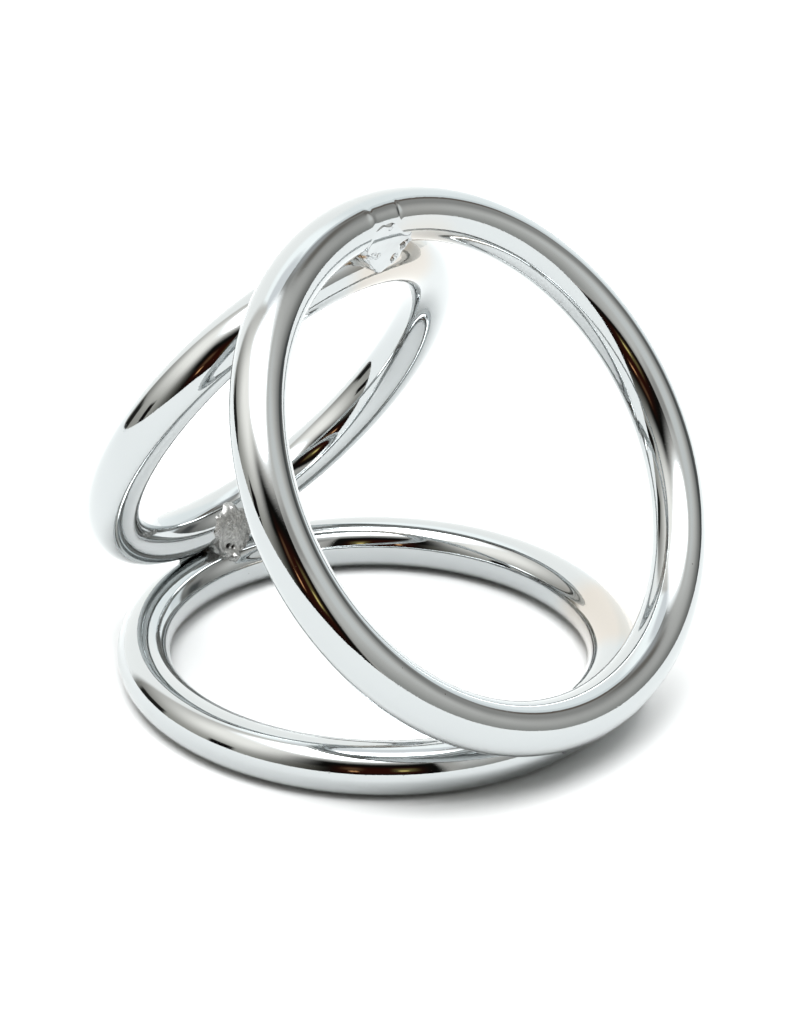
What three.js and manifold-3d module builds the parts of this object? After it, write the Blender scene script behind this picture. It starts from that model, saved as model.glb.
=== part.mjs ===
// Three polished rings welded rim to rim into a rigid triangle that stands on its base ring.
// Each ring is the same round bar, bent to its own diameter and closed with a butt weld.
// The small ring stands on the -X side of the base ring. The large ring leans over from the +X
// side and its top meets the small ring's top. The bars run along Y at each of the three joints,
// where a weld bead fills the groove on both sides. Millimetres, +Z up, base ring on Z = 0.

import * as THREE from "three";
import { mergeVertices } from "three/addons/utils/BufferGeometryUtils.js";
import Module from "manifold-3d";

const wasm = await Module();
wasm.setup();

const radians = THREE.MathUtils.degToRad;

// Driving dimensions
const BAR_DIAMETER = 5.8;
const BASE_BORE = 46.2;
const SMALL_BORE = 38.5;
const LARGE_BORE = 50.7;

// Directions in the XZ plane, counted up from +X
const BASE_TO_SMALL = radians(104.8); // from the base bar to the small bar where they touch
const SMALL_LEAN = radians(60.1); // the small ring's plane, from its foot to its top
const SMALL_TO_LARGE = radians(69.8); // from the small bar to the large bar where they touch

// Welds
const GAP = 0.3; // left between pieces that touch
const SEAM_WIDTH = 1.2; // butt weld that closes a ring
const BEAD_LENGTH = 7.0; // along the bars
const BEAD_HEIGHT = 5.6; // across both bars
const BEAD_REACH = 3.2; // from the touching line out to the crown of the bead
const BEAD_ROOT = 0.2; // from the touching line to the bottom of the bead before it is cut
const TOP_BEAD_SHIFT = 3.0; // how far along +Y the top joint's beads are laid from its middle
const LUMP_SHIFT = 2.1; // the same for the rough lump inside the joint of base and small ring
const LUMP_LIFT = 1.6; // how far the lump is piled up over the small ring's bar
const LUMP_REACH = 3.9; // from the touching line out to the crown of the lump

// Where each ring's butt weld sits, as an angle round the ring from its +X or top end
const BASE_SEAM = radians(10);
const SMALL_SEAM = radians(155);
const LARGE_SEAM = radians(6.5);

// Fineness
const BAR_SIDES = 16;
const RING_STEPS = 64;
const BEAD_STEPS = 16;

const barRadius = BAR_DIAMETER / 2;

const CHROME = { color: 0xdcdfe2, roughness: 0.07, metalness: 1 };
const SEAM_METAL = { color: 0xc9cccf, roughness: 0.16, metalness: 1 };
const BEAD_METAL = { color: 0xa09f9b, roughness: 0.42, metalness: 1 };

// A point in the XZ plane, a given distance from another in a given direction
function step(from, direction, distance) {
  const move = new THREE.Vector2(Math.cos(direction), Math.sin(direction));
  return from.clone().addScaledVector(move, distance);
}

// A ring's frame holds the ring flat in its own XY plane. Its own +X points from foot to top.
function ringFrame(low, lean, bore) {
  const radius = (bore + BAR_DIAMETER) / 2;
  const centre = step(low, lean, radius);
  const group = new THREE.Group();
  group.position.set(centre.x, 0, centre.y);
  group.rotation.y = -lean;
  group.updateMatrix();
  return { group, radius, low, top: step(low, lean, 2 * radius) };
}

// A joint's frame has its origin on the touching line, +Z towards the upper bar and Y along the bars.
function jointFrame(lowerBar, upperBar) {
  const direction = Math.atan2(upperBar.y - lowerBar.y, upperBar.x - lowerBar.x);
  const middle = lowerBar.clone().add(upperBar).multiplyScalar(0.5);
  const group = new THREE.Group();
  group.position.set(middle.x, 0, middle.y);
  group.rotation.y = Math.PI / 2 - direction;
  group.updateMatrix();
  return group;
}

// The large ring's foot lies where a bar touching the base ring is one large diameter from its top.
function largeFoot(top, baseBar) {
  const span = top.clone().sub(baseBar);
  const diameter = LARGE_BORE + BAR_DIAMETER;
  const reach = span.length();
  const cosine = (reach ** 2 + BAR_DIAMETER ** 2 - diameter ** 2) / (2 * reach * BAR_DIAMETER);
  return step(baseBar, span.angle() - Math.acos(cosine), BAR_DIAMETER);
}

function solidOf(geometry) {
  const bare = geometry.clone();
  bare.deleteAttribute("normal");
  bare.deleteAttribute("uv");
  const merged = mergeVertices(bare, 1e-4);
  const vertProperties = Float32Array.from(merged.attributes.position.array);
  const triVerts = Uint32Array.from(merged.index.array);
  return new wasm.Manifold(new wasm.Mesh({ numProp: 3, vertProperties, triVerts }));
}

function geometryOf(solid) {
  const mesh = solid.getMesh();
  const geometry = new THREE.BufferGeometry();
  geometry.setAttribute("position", new THREE.BufferAttribute(mesh.vertProperties, 3));
  geometry.setIndex(new THREE.BufferAttribute(mesh.triVerts, 1));
  geometry.computeVertexNormals();
  return geometry;
}

// Takes a geometry from one frame's coordinates to another's.
function moved(geometry, from, to) {
  const change = to.matrix.clone().invert().multiply(from.matrix);
  return geometry.applyMatrix4(change);
}

// A round bar bent into a flat ring. Flat sides of the bar face straight up and down.
function roundBar(radius, thickness) {
  const corner = thickness / Math.cos(Math.PI / BAR_SIDES);
  const outline = [];
  for (let side = 0; side <= BAR_SIDES; side += 1) {
    const turn = (2 * Math.PI * (side + 0.5)) / BAR_SIDES;
    outline.push(new THREE.Vector2(radius + corner * Math.cos(turn), corner * Math.sin(turn)));
  }
  return new THREE.LatheGeometry(outline, RING_STEPS).rotateX(Math.PI / 2);
}

// A slice across the bar at one place round the ring
function barSlice(ring, angle, width) {
  const side = 2 * BAR_DIAMETER;
  return new THREE.BoxGeometry(side, width, side).translate(ring.radius, 0, 0).rotateZ(angle);
}

function addMesh(group, name, solid, finish) {
  const mesh = new THREE.Mesh(geometryOf(solid), new THREE.MeshStandardMaterial(finish));
  mesh.name = name;
  group.add(mesh);
}

// The space round a ring's bar that its neighbours keep clear of, in another frame's coordinates
function clearance(ring, frame) {
  return solidOf(moved(roundBar(ring.radius, barRadius + GAP), ring.group, frame));
}

// The bar and its butt weld, bedded very slightly over the rings that it is welded down to
function addRing(name, ring, seamAngle, ringsBelow) {
  let whole = solidOf(roundBar(ring.radius, barRadius));
  for (const lower of ringsBelow) {
    whole = whole.subtract(clearance(lower, ring.group));
  }
  const weld = solidOf(barSlice(ring, seamAngle, SEAM_WIDTH));
  const opening = solidOf(barSlice(ring, seamAngle, SEAM_WIDTH + 2 * GAP));
  addMesh(ring.group, name, whole.subtract(opening), CHROME);
  addMesh(ring.group, `${name}_seam_weld`, whole.intersect(weld), SEAM_METAL);
}

// One bead in the groove between two bars, on the side that the sign gives. It may be laid
// further along the bars, piled up over the upper bar, or stand further out.
function addBead(name, joint, side, rings, { shift = 0, lift = 0, reach = BEAD_REACH } = {}) {
  const depth = (reach - BEAD_ROOT) / 2;
  const blob = new THREE.SphereGeometry(1, BEAD_STEPS, BEAD_STEPS);
  blob.scale(depth, BEAD_LENGTH / 2, BEAD_HEIGHT / 2);
  blob.translate(side * (BEAD_ROOT + depth), shift, lift);
  let bead = solidOf(blob);
  for (const ring of rings) {
    bead = bead.subtract(clearance(ring, joint));
  }
  addMesh(joint, name, bead, BEAD_METAL);
}

const baseRadius = (BASE_BORE + BAR_DIAMETER) / 2;
const baseLeft = new THREE.Vector2(-baseRadius, barRadius);
const baseRight = new THREE.Vector2(baseRadius, barRadius);

const base = ringFrame(baseLeft, 0, BASE_BORE);
const small = ringFrame(step(baseLeft, BASE_TO_SMALL, BAR_DIAMETER), SMALL_LEAN, SMALL_BORE);
const largeTop = step(small.top, SMALL_TO_LARGE, BAR_DIAMETER);
const largeLow = largeFoot(largeTop, baseRight);
const largeLean = largeTop.clone().sub(largeLow).angle();
const large = ringFrame(largeLow, largeLean, LARGE_BORE);

const baseSmall = jointFrame(baseLeft, small.low);
const baseLarge = jointFrame(baseRight, large.low);
const smallLarge = jointFrame(small.top, large.top);

addRing("base_ring", base, BASE_SEAM, []);
addRing("small_ring", small, SMALL_SEAM, [base]);
addRing("large_ring", large, LARGE_SEAM, [base, small]);

const lump = { shift: LUMP_SHIFT, lift: LUMP_LIFT, reach: LUMP_REACH };
const topBead = { shift: TOP_BEAD_SHIFT };
addBead("base_small_inner_bead", baseSmall, 1, [base, small], lump);
addBead("base_small_outer_bead", baseSmall, -1, [base, small]);
addBead("base_large_inner_bead", baseLarge, -1, [base, large]);
addBead("base_large_outer_bead", baseLarge, 1, [base, large]);
addBead("small_large_inner_bead", smallLarge, 1, [small, large], topBead);
addBead("small_large_outer_bead", smallLarge, -1, [small, large], topBead);

// The origin is the middle of the footprint, on the floor.
const assembly = new THREE.Group();
for (const frame of [base, small, large]) {
  assembly.add(frame.group);
}
for (const joint of [baseSmall, baseLarge, smallLarge]) {
  assembly.add(joint);
}
const extent = new THREE.Box3().setFromObject(assembly, true);
assembly.position.x = -(extent.min.x + extent.max.x) / 2;
assembly.updateMatrixWorld(true);

export default assembly;
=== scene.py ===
# Three chromed rings of round bar, welded rim to rim, on a white studio floor.
import math

import bmesh
import bpy
from mathutils import Matrix, Quaternion, Vector, noise


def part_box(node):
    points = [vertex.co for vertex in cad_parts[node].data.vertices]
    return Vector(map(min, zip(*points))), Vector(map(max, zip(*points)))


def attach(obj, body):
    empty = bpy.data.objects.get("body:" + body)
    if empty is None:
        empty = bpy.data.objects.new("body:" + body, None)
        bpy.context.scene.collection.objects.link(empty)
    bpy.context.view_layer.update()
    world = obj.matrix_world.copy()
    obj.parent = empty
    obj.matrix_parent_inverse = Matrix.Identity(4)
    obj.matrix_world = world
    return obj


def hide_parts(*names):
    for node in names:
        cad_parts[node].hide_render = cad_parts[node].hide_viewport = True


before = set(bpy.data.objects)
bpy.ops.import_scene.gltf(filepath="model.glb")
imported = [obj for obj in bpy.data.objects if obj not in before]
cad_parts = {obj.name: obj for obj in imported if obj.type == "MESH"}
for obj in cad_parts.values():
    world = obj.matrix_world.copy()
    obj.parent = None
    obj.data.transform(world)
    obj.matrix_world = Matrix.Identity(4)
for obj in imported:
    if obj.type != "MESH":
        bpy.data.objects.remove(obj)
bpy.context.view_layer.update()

MM = 0.001

BAR_LOW, BAR_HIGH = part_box("base_ring")
BAR_RADIUS = (BAR_HIGH.z - BAR_LOW.z) / 2

# Fineness of the finished surfaces
BAR_SIDES = 72
STEPS_PER_DEGREE = 0.9
SEAM_STEPS_PER_DEGREE = 8
WELD_CELLS = 72
HALVINGS = 14

# Where each ring was closed, as an angle round it from its +X or top end, and half the ground stretch
BASE_SEAM = math.radians(10)
SMALL_SEAM = math.radians(155)
LARGE_SEAM = math.radians(1.6)
SEAM_HALF = math.radians(9)

# Where the camera stands, seen from the middle of the base ring
CAMERA_AZIMUTH = math.radians(41.504)
CAMERA_ELEVATION = math.radians(26.431)
CAMERA_ROLL = math.radians(1.207)
CAMERA_DISTANCE = 376.71 * MM
CAMERA_AIM = Vector((2.64, 0.0, 21.06)) * MM
SENSOR_WIDTH = 36.0
LENS = 123.74

# The studio: half the floor's width in metres, and how bright the whole tent is
FLOOR_HALF_WIDTH = 4.0
TENT_STRENGTH = 1.14

# How far out from the touching line a bead's back is, the least and the most that its front may be,
# and how deep its rim is buried, all in mm
BACK = 0.03
ROOT = 0.15
OUTER = 5.0
BURIED = 0.2

# A bead's outline: how much smaller it is than its grid, how ragged, how steep at its rim, and how
# unlike on the two sides of a joint
INSET = 1.3
RAGGED = 0.18
STEEPNESS = 2.2
SIDES_APART = 7


class Nodes:
    """A node tree. Its add method makes any node; sockets it returns take the usual operators."""

    def __init__(self, tree):
        self.tree = tree
        tree.nodes.clear()

    def add(self, kind, settings=None, inputs=None, output=0):
        node = self.tree.nodes.new(kind)
        for name, value in (settings or {}).items():
            setattr(node, name, value)
        for name, value in (inputs or {}).items():
            if isinstance(value, Socket):
                self.tree.links.new(value.socket, node.inputs[name])
            else:
                node.inputs[name].default_value = value
        return Socket(self, node.outputs[output]) if node.outputs else node


class Socket:
    """A node's output. Sums, products and quotients of it add Math nodes."""

    def __init__(self, nodes, socket):
        self.nodes = nodes
        self.socket = socket

    def math(self, operation, first, second=0.0):
        return self.nodes.add("ShaderNodeMath", {"operation": operation}, {0: first, 1: second})

    def __add__(self, other):
        return self.math("ADD", self, other)

    def __radd__(self, other):
        return self.math("ADD", other, self)

    def __sub__(self, other):
        return self.math("SUBTRACT", self, other)

    def __rsub__(self, other):
        return self.math("SUBTRACT", other, self)

    def __mul__(self, other):
        return self.math("MULTIPLY", self, other)

    def __rmul__(self, other):
        return self.math("MULTIPLY", other, self)

    def __truediv__(self, other):
        return self.math("DIVIDE", self, other)

    def __rtruediv__(self, other):
        return self.math("DIVIDE", other, self)

    def part(self, name):
        """Another output of the same node."""
        return Socket(self.nodes, self.socket.node.outputs[name])

    def rise(self, start, end, low=0.0, high=1.0):
        """A smooth step from low at start to high at end."""
        settings = {"interpolation_type": "SMOOTHSTEP"}
        inputs = {"Value": self, "From Min": start, "From Max": end, "To Min": low, "To Max": high}
        return self.nodes.add("ShaderNodeMapRange", settings, inputs)

    def mix(self, first, second):
        """A colour mixed by this factor."""
        settings = {"data_type": "RGBA"}
        inputs = {0: self, 6: colour(first), 7: colour(second)}
        return self.nodes.add("ShaderNodeMix", settings, inputs, output=2)


def colour(value):
    """Three numbers as a node's colour; a socket stays as it is."""
    return value if isinstance(value, Socket) else (*value, 1.0)


class Ring:
    """One ring, measured from its CAD node: its middle, its radius and how its plane leans."""

    def __init__(self, node, leans_back=False):
        low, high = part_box(node)
        half = (high - low) / 2
        self.centre = (low + high) / 2
        self.radius = half.y - BAR_RADIUS
        lean = math.atan2(half.z - BAR_RADIUS, half.x - BAR_RADIUS)
        self.lean = math.pi - lean if leans_back else lean
        self.matrix = Matrix.Translation(self.centre) @ Matrix.Rotation(-self.lean, 4, "Y")
        self.inverse = self.matrix.inverted()
        self.top = self.matrix @ Vector((self.radius, 0, 0))
        self.foot = self.matrix @ Vector((-self.radius, 0, 0))

    def distance(self, point):
        """How far a point is outside the bar's surface; negative inside the bar."""
        local = self.inverse @ point
        return math.hypot(math.hypot(local.x, local.y) - self.radius, local.z) - BAR_RADIUS


class Joint:
    """Where a lower bar touches an upper one. Out is the way the groove on side +1 faces."""

    def __init__(self, lower, upper, lower_bar, upper_bar):
        self.rings = (lower, upper)
        self.middle = (lower_bar + upper_bar) / 2
        self.up = (upper_bar - lower_bar).normalized()
        self.out = Vector((self.up.z, 0, -self.up.x))

    def point(self, side, out, along, up):
        return self.middle + self.out * (side * out) + self.up * up + Vector((0, along, 0))

    def skin(self, point, blend):
        """The distance from a point to both bars with their metal run together in the groove."""
        first, second = (ring.distance(point) for ring in self.rings)
        near = max(blend - abs(first - second), 0.0)
        fillet = near * near / (4 * blend) if blend > 0 else 0.0
        return min(first, second) - fillet


def finished(name, bm, material, slot, *nodes):
    """Makes the piece from its bmesh. It rides on the frame in place of the CAD nodes it stands for."""
    mesh = bpy.data.meshes.new(name)
    bm.to_mesh(mesh)
    bm.free()
    mesh.materials.append(material)
    piece = bpy.data.objects.new(name, mesh)
    bpy.context.scene.collection.objects.link(piece)
    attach(piece, "root")
    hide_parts(*nodes)


def bar_arc(ring, start, end, steps_per_degree, shape=None):
    """A stretch of round bar bent along part of a ring, with flat ends. Shape may thicken or thin it."""
    bm = bmesh.new()
    bmesh.ops.create_circle(bm, cap_ends=True, segments=BAR_SIDES, radius=BAR_RADIUS)
    upright = Matrix.Translation((ring.radius, 0, 0)) @ Matrix.Rotation(math.pi / 2, 4, "X")
    bmesh.ops.transform(bm, matrix=Matrix.Rotation(start, 4, "Z") @ upright, verts=bm.verts)
    bmesh.ops.spin(
        bm,
        geom=bm.verts[:] + bm.edges[:] + bm.faces[:],
        cent=(0, 0, 0),
        axis=(0, 0, 1),
        angle=end - start,
        steps=round(math.degrees(end - start) * steps_per_degree),
    )
    bmesh.ops.recalc_face_normals(bm, faces=bm.faces)
    for face in bm.faces:
        face.smooth = len(face.verts) == 4
    for edge in bm.edges:
        edge.smooth = all(face.smooth for face in edge.link_faces)
    if shape:
        for vert in bm.verts:
            round_ring = math.atan2(vert.co.y, vert.co.x)
            spine = Vector((math.cos(round_ring), math.sin(round_ring), 0)) * ring.radius
            arm = vert.co - spine
            outwards = math.hypot(vert.co.x, vert.co.y) - ring.radius
            round_bar = math.atan2(vert.co.z, outwards)
            vert.co = spine + arm * (1 + shape(round_ring, round_bar) / BAR_RADIUS)
    bmesh.ops.transform(bm, matrix=ring.matrix, verts=bm.verts)
    return bm


def bump_at(value, middle, width):
    """A smooth bump of height 1 round a middle value."""
    return math.exp(-(((value - middle) / width) ** 2))


def step_at(value, edge, softness):
    """A smooth step from 0 to 1 across an edge."""
    return 0.5 + 0.5 * math.tanh((value - edge) / softness)


def nearest_turn(angle):
    """The same angle between minus and plus half a turn."""
    return (angle + math.pi) % (2 * math.pi) - math.pi


def ground_flush(seam):
    """A seam that was ground nearly level: a slight waist, a little lumpy."""

    def shape(round_ring, round_bar):
        along = nearest_turn(round_ring - seam)
        waist = -0.05 * MM * bump_at(along, 0, math.radians(3))
        lumps = noise.noise(Vector((math.cos(round_bar), math.sin(round_bar), along * 14)) * 2)
        return waist + 0.03 * MM * lumps * bump_at(along, 0, math.radians(4))

    return shape


def pinched(seam):
    """The large ring's seam: a pinched stretch from a spur to a notch, with a ridge along its face."""
    half = math.radians(4.2)

    def shape(round_ring, round_bar):
        along = nearest_turn(round_ring - seam)
        inside = step_at(along, -half, math.radians(0.6)) * step_at(-along, -half, math.radians(1.7))
        face = math.remainder(round_bar + math.radians(90), 2 * math.pi)
        ridge = 0.11 * bump_at(face, 0, math.radians(22))
        waist = 0.08 * bump_at(face, 0, math.radians(52))
        notch = 0.07 * bump_at(along, half, math.radians(0.45))
        notch *= bump_at(face, math.radians(-8), math.radians(18))
        spur = 0.05 * bump_at(along, -half, math.radians(0.8)) * bump_at(face, 0, math.radians(20))
        lumps = 0.006 * noise.noise(Vector((math.cos(round_bar), math.sin(round_bar), along * 12)) * 2)
        return MM * (inside * (ridge - waist + lumps) - notch + spur)

    return shape


def ring_pieces(name, ring, seam, shape):
    """The bar from one side of its seam round to the other, and the seam between its ends."""
    node = f"{name}_ring"
    start, end = seam - SEAM_HALF, seam + SEAM_HALF
    bar = bar_arc(ring, end, start + 2 * math.pi, STEPS_PER_DEGREE)
    finished(f"{name}_bar", bar, polished, "chromed_bar", node)
    weld = bar_arc(ring, start, end, SEAM_STEPS_PER_DEGREE, shape)
    finished(f"{name}_seam", weld, ground, "seam_weld", f"{node}_seam_weld")


def weld_bead(joint, side, along, up, length, height, blend, lump=0.0, grain=0.0, skew=0.0, marks=()):
    """A bead in the groove on one side of a joint, run out over both bars. Lengths are in mm.

    Along and up are where its middle is. Blend is how wide the metal runs from bar to bar, lump how
    thick it is piled on top of that, grain how coarse its surface is, and skew how far it slants.
    Marks are drops of metal and, with a negative height, pinholes: along, up, radius, height.
    Its front is found by halving the distance out from the touching line until it meets the skin.
    """
    bm = bmesh.new()
    bmesh.ops.create_grid(bm, x_segments=WELD_CELLS, y_segments=WELD_CELLS, size=1)
    pit_mark = bm.verts.layers.float.new("pit_mark")
    front = bm.verts[:]
    bmesh.ops.extrude_face_region(bm, geom=bm.faces[:])
    back = set(bm.verts) - set(front)
    for vert in bm.verts:
        u, v = vert.co.x, vert.co.y
        here_along = along + (u + v * skew) * length / 2
        here_up = up + v * height / 2
        if vert in back:
            vert.co = joint.point(side, BACK * MM, here_along * MM, here_up * MM)
            continue
        place = Vector((here_along, here_up, SIDES_APART * side))
        ragged = 1 + RAGGED * noise.noise(place * 0.8) + 0.3 * grain * noise.noise(place * 2.6)
        edge = 1 - INSET * (u * u + v * v) * ragged * ragged
        fill = max(0.0, min(1.0, edge * STEEPNESS))
        fill = fill * fill * (3 - 2 * fill)
        piled = (lump + grain * noise.fractal(place * 1.1, 0.9, 2.0, 3)) * fill - BURIED * (1 - fill)
        for mark_along, mark_up, radius, mark_height in marks:
            ragged = 1 + 0.3 * noise.noise(place * 2.2 + Vector((0, 0, mark_along)))
            away = math.hypot(here_along - mark_along, here_up - mark_up) / (radius * ragged)
            mark = math.exp(-(away**4))
            piled += mark_height * mark * fill
            if mark_height < 0:
                vert[pit_mark] = max(vert[pit_mark], mark)
        low, high = ROOT, OUTER
        for _ in range(HALVINGS):
            middle = (low + high) / 2
            point = joint.point(side, middle * MM, here_along * MM, here_up * MM)
            inside = joint.skin(point, blend * fill * MM) < piled * MM
            low, high = (middle, high) if inside else (low, middle)
        vert.co = joint.point(side, low * MM, here_along * MM, here_up * MM)
    bmesh.ops.recalc_face_normals(bm, faces=bm.faces)
    for face in bm.faces:
        face.smooth = True
    return bm


def new_material(name):
    material = bpy.data.materials.new(name)
    material.use_nodes = True
    return material, Nodes(material.node_tree)


def speckles(nodes, place, scale, size):
    """Scattered round dots: 1 on a dot, 0 off it."""
    cells = nodes.add("ShaderNodeTexVoronoi", None, {"Vector": place, "Scale": scale})
    keep = nodes.add("ShaderNodeSeparateColor", None, {0: cells.part("Color")}).rise(0.72, 0.78)
    return cells.rise(size, size * 0.5) * keep


def painted_reflection_spots():
    """Where a warm, straw-coloured reflection is painted into the plating's colour, and how far the
    painted reflection reaches.
    """
    by_top_joint = small_large.point(1, 2 * MM, 5 * MM, -4 * MM)
    round_base = math.radians(52)
    on_base = base.matrix @ (Vector((math.cos(round_base), math.sin(round_base), 0)) * base.radius)
    return ((by_top_joint, 11.5 * MM), (on_base, 12 * MM))


def chrome(name, dullness, ripple):
    """Plated and hand-polished bar: faint waves, hairline scratches, dust and a few pinholes."""
    material, nodes = new_material(name)
    place = nodes.add("ShaderNodeTexCoord").part("Object")
    waves = nodes.add("ShaderNodeTexNoise", None, {"Vector": place, "Scale": 170.0, "Detail": 1.0})
    fine = nodes.add("ShaderNodeTexNoise", None, {"Vector": place, "Scale": 1900.0, "Detail": 2.0})
    haze = nodes.add("ShaderNodeTexNoise", None, {"Vector": place, "Scale": 90.0, "Detail": 4.0})
    stretched = nodes.add("ShaderNodeMapping", None, {"Vector": place, "Scale": (1.0, 0.12, 1.0)})
    hairs = nodes.add("ShaderNodeTexNoise", None, {"Vector": stretched, "Scale": 5200.0, "Detail": 2.0})
    pinholes = speckles(nodes, place, 420.0, 0.045)
    dust = speckles(nodes, place, 1300.0, 0.085)
    height = waves + fine * 0.03 + hairs.rise(0.60, 0.72) * 0.02 - pinholes * 0.5 + dust * 0.35
    bump = nodes.add("ShaderNodeBump", None, {"Height": height, "Strength": ripple, "Distance": 0.0010})
    tint = haze.rise(0.35, 0.70).mix((0.488, 0.508, 0.512), (0.478, 0.498, 0.502))
    # painted reflection: round these spots the plating's colour is tinted straw-coloured
    for spot, reach in painted_reflection_spots():
        away = nodes.add("ShaderNodeVectorMath", {"operation": "DISTANCE"}, {0: place, 1: spot}, output=1)
        tint = (away + haze * 0.004).rise(reach, reach * 0.6).mix(tint, (0.505, 0.474, 0.435))
    tint = pinholes.mix(tint, (0.26, 0.25, 0.24))
    roughness = haze.rise(0.35, 0.75, dullness, dullness + 0.03) + (pinholes + dust) * 0.15
    inputs = {"Base Color": tint, "Metallic": 1.0, "Roughness": roughness, "Normal": bump}
    shader = nodes.add("ShaderNodeBsdfPrincipled", None, inputs)
    nodes.add("ShaderNodeOutputMaterial", None, {"Surface": shader})
    return material


def plated_weld():
    """Weld metal under the plating: smooth, with brown flux left in its pinholes."""
    material, nodes = new_material("plated_weld")
    place = nodes.add("ShaderNodeTexCoord").part("Object")
    pit_mark = nodes.add("ShaderNodeAttribute", {"attribute_name": "pit_mark"}).part("Fac")
    lumps = nodes.add("ShaderNodeTexNoise", None, {"Vector": place, "Scale": 800.0, "Detail": 1.0})
    grain = nodes.add("ShaderNodeTexNoise", None, {"Vector": place, "Scale": 5200.0, "Detail": 3.0})
    pinholes = speckles(nodes, place, 1100.0, 0.10)
    height = lumps + grain * 0.03 - pinholes * 0.2
    bump = nodes.add("ShaderNodeBump", None, {"Height": height, "Strength": 0.012, "Distance": 0.0010})
    tint = lumps.rise(0.35, 0.65).mix((0.50, 0.52, 0.525), (0.485, 0.50, 0.505))
    tint = pit_mark.rise(0.3, 0.95).mix(tint, (0.33, 0.22, 0.13))
    tint = pinholes.mix(tint, (0.20, 0.17, 0.14))
    roughness = lumps.rise(0.4, 0.7, 0.045, 0.08) + pit_mark * 0.2 + pinholes * 0.2
    inputs = {"Base Color": tint, "Metallic": 1.0, "Roughness": roughness, "Normal": bump}
    shader = nodes.add("ShaderNodeBsdfPrincipled", None, inputs)
    nodes.add("ShaderNodeOutputMaterial", None, {"Surface": shader})
    return material


def rough_weld():
    """Weld metal left unpolished: grey, granular, with a few bright grains and dark holes."""
    material, nodes = new_material("rough_weld")
    place = nodes.add("ShaderNodeTexCoord").part("Object")
    pit_mark = nodes.add("ShaderNodeAttribute", {"attribute_name": "pit_mark"}).part("Fac")
    cloud = nodes.add("ShaderNodeTexNoise", None, {"Vector": place, "Scale": 700.0, "Detail": 3.0})
    grain_inputs = {"Vector": place, "Scale": 4200.0, "Detail": 5.0, "Roughness": 0.7}
    grain = nodes.add("ShaderNodeTexNoise", None, grain_inputs)
    crumbs = nodes.add("ShaderNodeTexVoronoi", None, {"Vector": place, "Scale": 3600.0})
    bright = speckles(nodes, place, 2600.0, 0.16)
    holes = speckles(nodes, place, 1500.0, 0.20)
    height = cloud * 0.6 + grain * 0.5 - crumbs * 0.15 - holes * 0.5
    bump = nodes.add("ShaderNodeBump", None, {"Height": height, "Strength": 0.26, "Distance": 0.00022})
    tint = grain.rise(0.3, 0.7).mix((0.22, 0.22, 0.215), (0.40, 0.40, 0.385))
    tint = bright.mix(tint, (0.70, 0.70, 0.68))
    # each pit is coloured near-black over its middle, fading out towards its rim
    tint = pit_mark.rise(0.1, 0.8).mix(tint, (0.07, 0.065, 0.06))
    tint = holes.mix(tint, (0.05, 0.045, 0.04))
    roughness = cloud.rise(0.35, 0.65, 0.26, 0.42)
    inputs = {"Base Color": tint, "Metallic": 1.0, "Roughness": roughness, "Normal": bump}
    shader = nodes.add("ShaderNodeBsdfPrincipled", None, inputs)
    nodes.add("ShaderNodeOutputMaterial", None, {"Surface": shader})
    return material


def add_floor():
    """A plain white floor, wide enough to run out of sight."""
    bm = bmesh.new()
    bmesh.ops.create_grid(bm, x_segments=1, y_segments=1, size=FLOOR_HALF_WIDTH)
    mesh = bpy.data.meshes.new("floor")
    bm.to_mesh(mesh)
    bm.free()
    floor = bpy.data.objects.new("floor", mesh)
    bpy.context.scene.collection.objects.link(floor)
    material, nodes = new_material("white_floor")
    shader = nodes.add("ShaderNodeBsdfDiffuse", None, {"Color": (0.60, 0.61, 0.61, 1.0)})
    nodes.add("ShaderNodeOutputMaterial", None, {"Surface": shader})
    mesh.materials.append(material)


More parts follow.
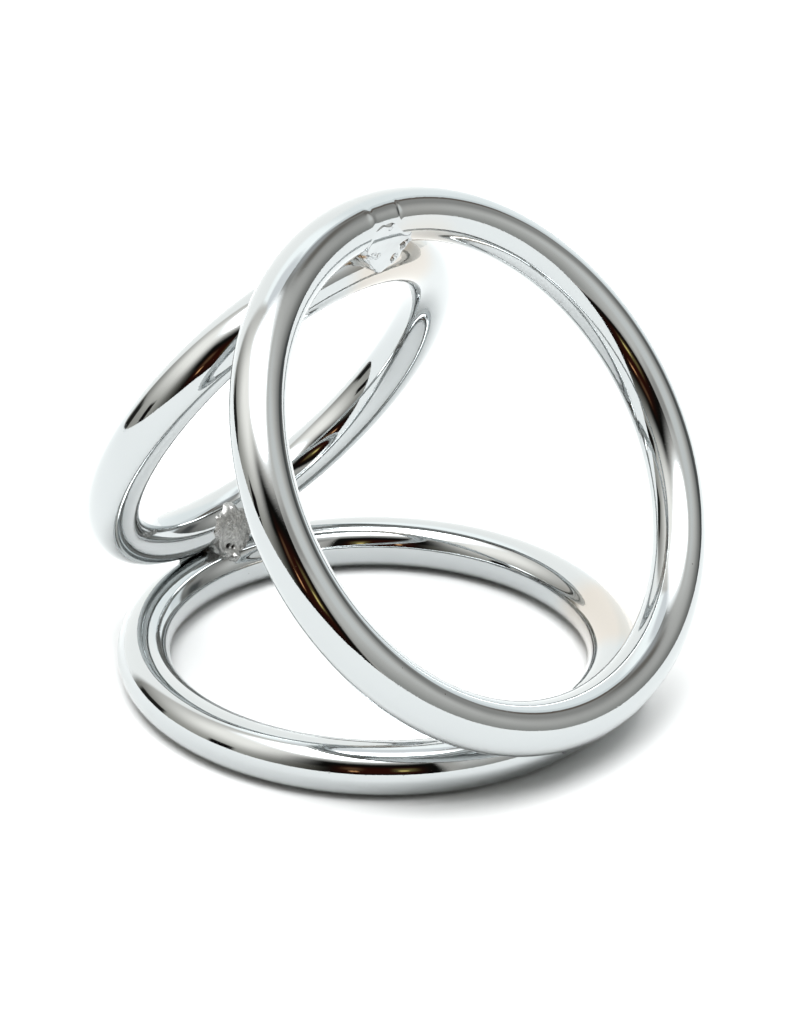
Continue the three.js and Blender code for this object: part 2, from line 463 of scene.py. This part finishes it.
def studio_light():
    """A white tent that is open towards the camera, with a large soft light over it."""
    world = bpy.data.worlds.new("light_tent")
    world.use_nodes = True
    bpy.context.scene.world = world
    nodes = Nodes(world.node_tree)
    way = nodes.add("ShaderNodeTexCoord").part("Generated")
    axes = nodes.add("ShaderNodeSeparateXYZ", None, {0: way})
    x, y, z = axes, axes.part("Y"), axes.part("Z")
    azimuth = x.math("ARCTAN2", x, 0.0 - y) * math.degrees(1)
    elevation = z.math("ARCSINE", z) * math.degrees(1)

    def patch(left, right, low, high, side=5, end=4):
        """A soft-edged patch of the tent between two azimuths and two elevations, in degrees."""
        across = azimuth.rise(left - side, left + side) * azimuth.rise(right + side, right - side)
        up = elevation.rise(low - end, low + end) * elevation.rise(high + end, high - end)
        return across * up

    # the tent's back wall, cooler at one side, brighter under its seam and darker above it
    wall = azimuth.rise(-160, -142).mix((1.25, 1.31, 1.32), (1.38, 1.39, 1.37))
    wall = elevation.rise(50, 60).mix(wall, (1.56, 1.62, 1.62))
    wall = elevation.rise(65, 72).mix(wall, (1.06, 1.09, 1.12))

    # the side panel on the left, which the overhead light grazes, with two gaps at the floor
    left = elevation.rise(3, 43).mix((0.50, 0.49, 0.45), (1.46, 1.42, 1.35))
    left = azimuth.rise(-42, -80, 0, 0.40).mix(left, (0, 0, 0))
    left = azimuth.rise(-22, -8, 0, 0.14).mix(left, (0, 0, 0))
    left = patch(-76, -57, -6, 11, side=2, end=2).mix(left, (0.020, 0.020, 0.018))
    left = patch(-31, -19, -6, 12, side=1.5, end=2).mix(left, (0.006, 0.005, 0.005))
    is_left = azimuth.rise(-87, -79) * azimuth.rise(90, 80)
    tent = is_left.mix(wall, left)

    # the side panel on the right, darker towards the wall
    right = elevation.rise(0, 30).mix((0.44, 0.44, 0.42), (0.80, 0.79, 0.76))
    right = patch(66, 96, 33, 44, side=8).mix(right, (0.44, 0.43, 0.41))
    right = patch(62, 76, -5, 36, side=4).mix(right, (0.55, 0.53, 0.50))
    right = patch(100, 128, 24, 48, side=8, end=6).mix(right, (0.90, 0.92, 0.91))
    right = azimuth.rise(128, 152, 0, 0.5).mix(right, (0, 0, 0))
    right = patch(142, 160, 42, 56, side=5, end=6).mix(right, (0.22, 0.205, 0.185))
    right = azimuth.rise(167, 172).mix(right, (1.05, 1.11, 1.13))
    right = patch(154, 172, 54, 68, side=5, end=5).mix(right, (0.50, 0.51, 0.52))
    right = patch(163, 170, 26, 52, side=3, end=5).mix(right, (0.17, 0.14, 0.12))
    right = patch(152, 162, -5, 20, side=3, end=6).mix(right, (0.10, 0.105, 0.105))
    tent = azimuth.rise(67, 73).mix(tent, right)

    # the dark room behind the camera, with its few dim colours
    room = patch(25, 60, 4, 30, side=6, end=8).mix((0.006, 0.006, 0.005), (0.034, 0.007, 0.004))
    room = patch(4, 19, -6, 21, side=5, end=4).mix(room, (0.070, 0.066, 0.055))
    room = patch(28, 35, 17, 27, side=3, end=3).mix(room, (0.13, 0.07, 0.035))
    room = patch(31, 34, 10, 15, side=1.2, end=1.5).mix(room, (1.00, 0.52, 0.24))
    room = patch(49, 58, 13, 26, side=3, end=3).mix(room, (0.16, 0.13, 0.05))
    room = patch(51, 55, 14, 19, side=1.2, end=1.5).mix(room, (0.90, 0.72, 0.26))
    room_mask = azimuth.rise(-13, 19) * azimuth.rise(73, 67) * elevation.rise(58, 38)
    tent = room_mask.mix(tent, room)

    # the soft light overhead: a glowing cloth with a bright middle, cut off just behind the zenith
    height = z + 0.001  # so that level directions don't divide by zero
    towards = (x * math.sin(CAMERA_AZIMUTH) - y * math.cos(CAMERA_AZIMUTH)) / height
    across = (x * math.cos(CAMERA_AZIMUTH) + y * math.sin(CAMERA_AZIMUTH)) / height
    corner = across * 0.62 - towards
    cloth = towards.rise(-0.16, -0.06) * across.rise(-0.80, -0.56) * across.rise(0.80, 0.58)
    cloth = cloth * corner.rise(0.38, 0.14) * elevation.rise(48, 57)
    tent = cloth.mix(tent, (1.75, 1.77, 1.78))
    lamp = towards.rise(-0.08, 0.06) * across.rise(-0.64, -0.42) * across.rise(0.64, 0.42)
    lamp = lamp * corner.rise(0.20, 0.02) * elevation.rise(52, 63)
    tent = lamp.mix(tent, (12.0, 12.0, 12.1))

    background = nodes.add("ShaderNodeBackground", None, {"Color": tent, "Strength": TENT_STRENGTH})
    nodes.add("ShaderNodeOutputWorld", None, {"Surface": background})


def add_camera():
    """The camera, which looks at a point over the middle of the base ring."""
    level = math.cos(CAMERA_ELEVATION)
    back = Vector(
        (math.sin(CAMERA_AZIMUTH) * level, -math.cos(CAMERA_AZIMUTH) * level, math.sin(CAMERA_ELEVATION))
    )
    data = bpy.data.cameras.new("camera")
    data.sensor_width = SENSOR_WIDTH
    data.lens = LENS
    data.clip_start = 0.01
    data.clip_end = 20.0
    camera = bpy.data.objects.new("camera", data)
    base_centre = Vector((base.centre.x, base.centre.y, 0))
    camera.location = base_centre + CAMERA_AIM + back * CAMERA_DISTANCE
    camera.rotation_mode = "QUATERNION"
    turn = Quaternion((0, 0, 1), CAMERA_ROLL)
    camera.rotation_quaternion = (-back).to_track_quat("-Z", "Y") @ turn
    bpy.context.scene.collection.objects.link(camera)
    bpy.context.scene.camera = camera


base = Ring("base_ring")
small = Ring("small_ring")
large = Ring("large_ring", leans_back=True)

base_small = Joint(base, small, base.foot, small.foot)
base_large = Joint(base, large, base.top, large.foot)
small_large = Joint(small, large, small.top, large.top)

bpy.context.scene.view_settings.view_transform = "Standard"
add_camera()
add_floor()
studio_light()

polished = chrome("polished_chrome", dullness=0.03, ripple=0.034)
ground = chrome("ground_seam", dullness=0.04, ripple=0.040)
plated = plated_weld()
rough = rough_weld()

ring_pieces("base", base, BASE_SEAM, ground_flush(BASE_SEAM))
ring_pieces("small", small, SMALL_SEAM, ground_flush(SMALL_SEAM))
ring_pieces("large", large, LARGE_SEAM, pinched(LARGE_SEAM))

# the rough lump on the inner side, piled up over the small ring's bar
lump_marks = (
    (2.5, 1.3, 1.75, 0.26),
    (1.5, -1.5, 0.55, 0.30),
    (0.3, 4.2, 0.5, 0.16),
    (2.6, 4.3, 0.4, 0.18),
    (0.9, 0.2, 0.30, -0.45),
    (1.5, -0.1, 0.20, -0.40),
    (3.9, 3.9, 0.30, -0.40),
)
bead = weld_bead(base_small, 1, 2.0, 1.6, 7.6, 7.8, 3.4, lump=0.24, grain=0.07, skew=0.1, marks=lump_marks)
finished("base_small_lump", bead, rough, "rough_weld", "base_small_inner_bead")

# the smooth web across the top joint, with ragged pits at both ends
web_marks = (
    (-1.7, 0.6, 0.55, -0.40),
    (-0.4, 0.7, 0.30, 0.22),
    (0.3, 0.5, 0.30, -0.30),
    (1.0, 4.2, 0.45, 0.14),
    (4.3, 0.9, 0.60, -0.70),
    (5.2, -0.6, 0.70, -0.50),
    (3.3, -0.8, 0.40, -0.35),
    (-2.4, -0.2, 0.50, -0.40),
)
bead = weld_bead(small_large, 1, 1.5, 1.0, 9.6, 8.6, 4.6, lump=0.03, skew=-0.3, marks=web_marks)
finished("small_large_web", bead, plated, "bead_weld", "small_large_inner_bead")

plain_beads = (
    ("base_small_outer", base_small, -1, 0.0, (0.9, -0.4, 0.3, -0.3)),
    ("base_large_inner", base_large, -1, 0.0, (-1.2, 0.3, 0.3, -0.3)),
    ("base_large_outer", base_large, 1, 0.0, (1.6, 0.2, 0.35, -0.3)),
    ("small_large_outer", small_large, -1, 3.0, (2.2, 0.3, 0.3, -0.3)),
)
for name, joint, side, along, pit in plain_beads:
    bead = weld_bead(joint, side, along, 0.0, 8.8, 7.2, 3.8, lump=0.04, grain=0.03, marks=(pit,))
    finished(f"{name}_weld", bead, plated, "bead_weld", f"{name}_bead")
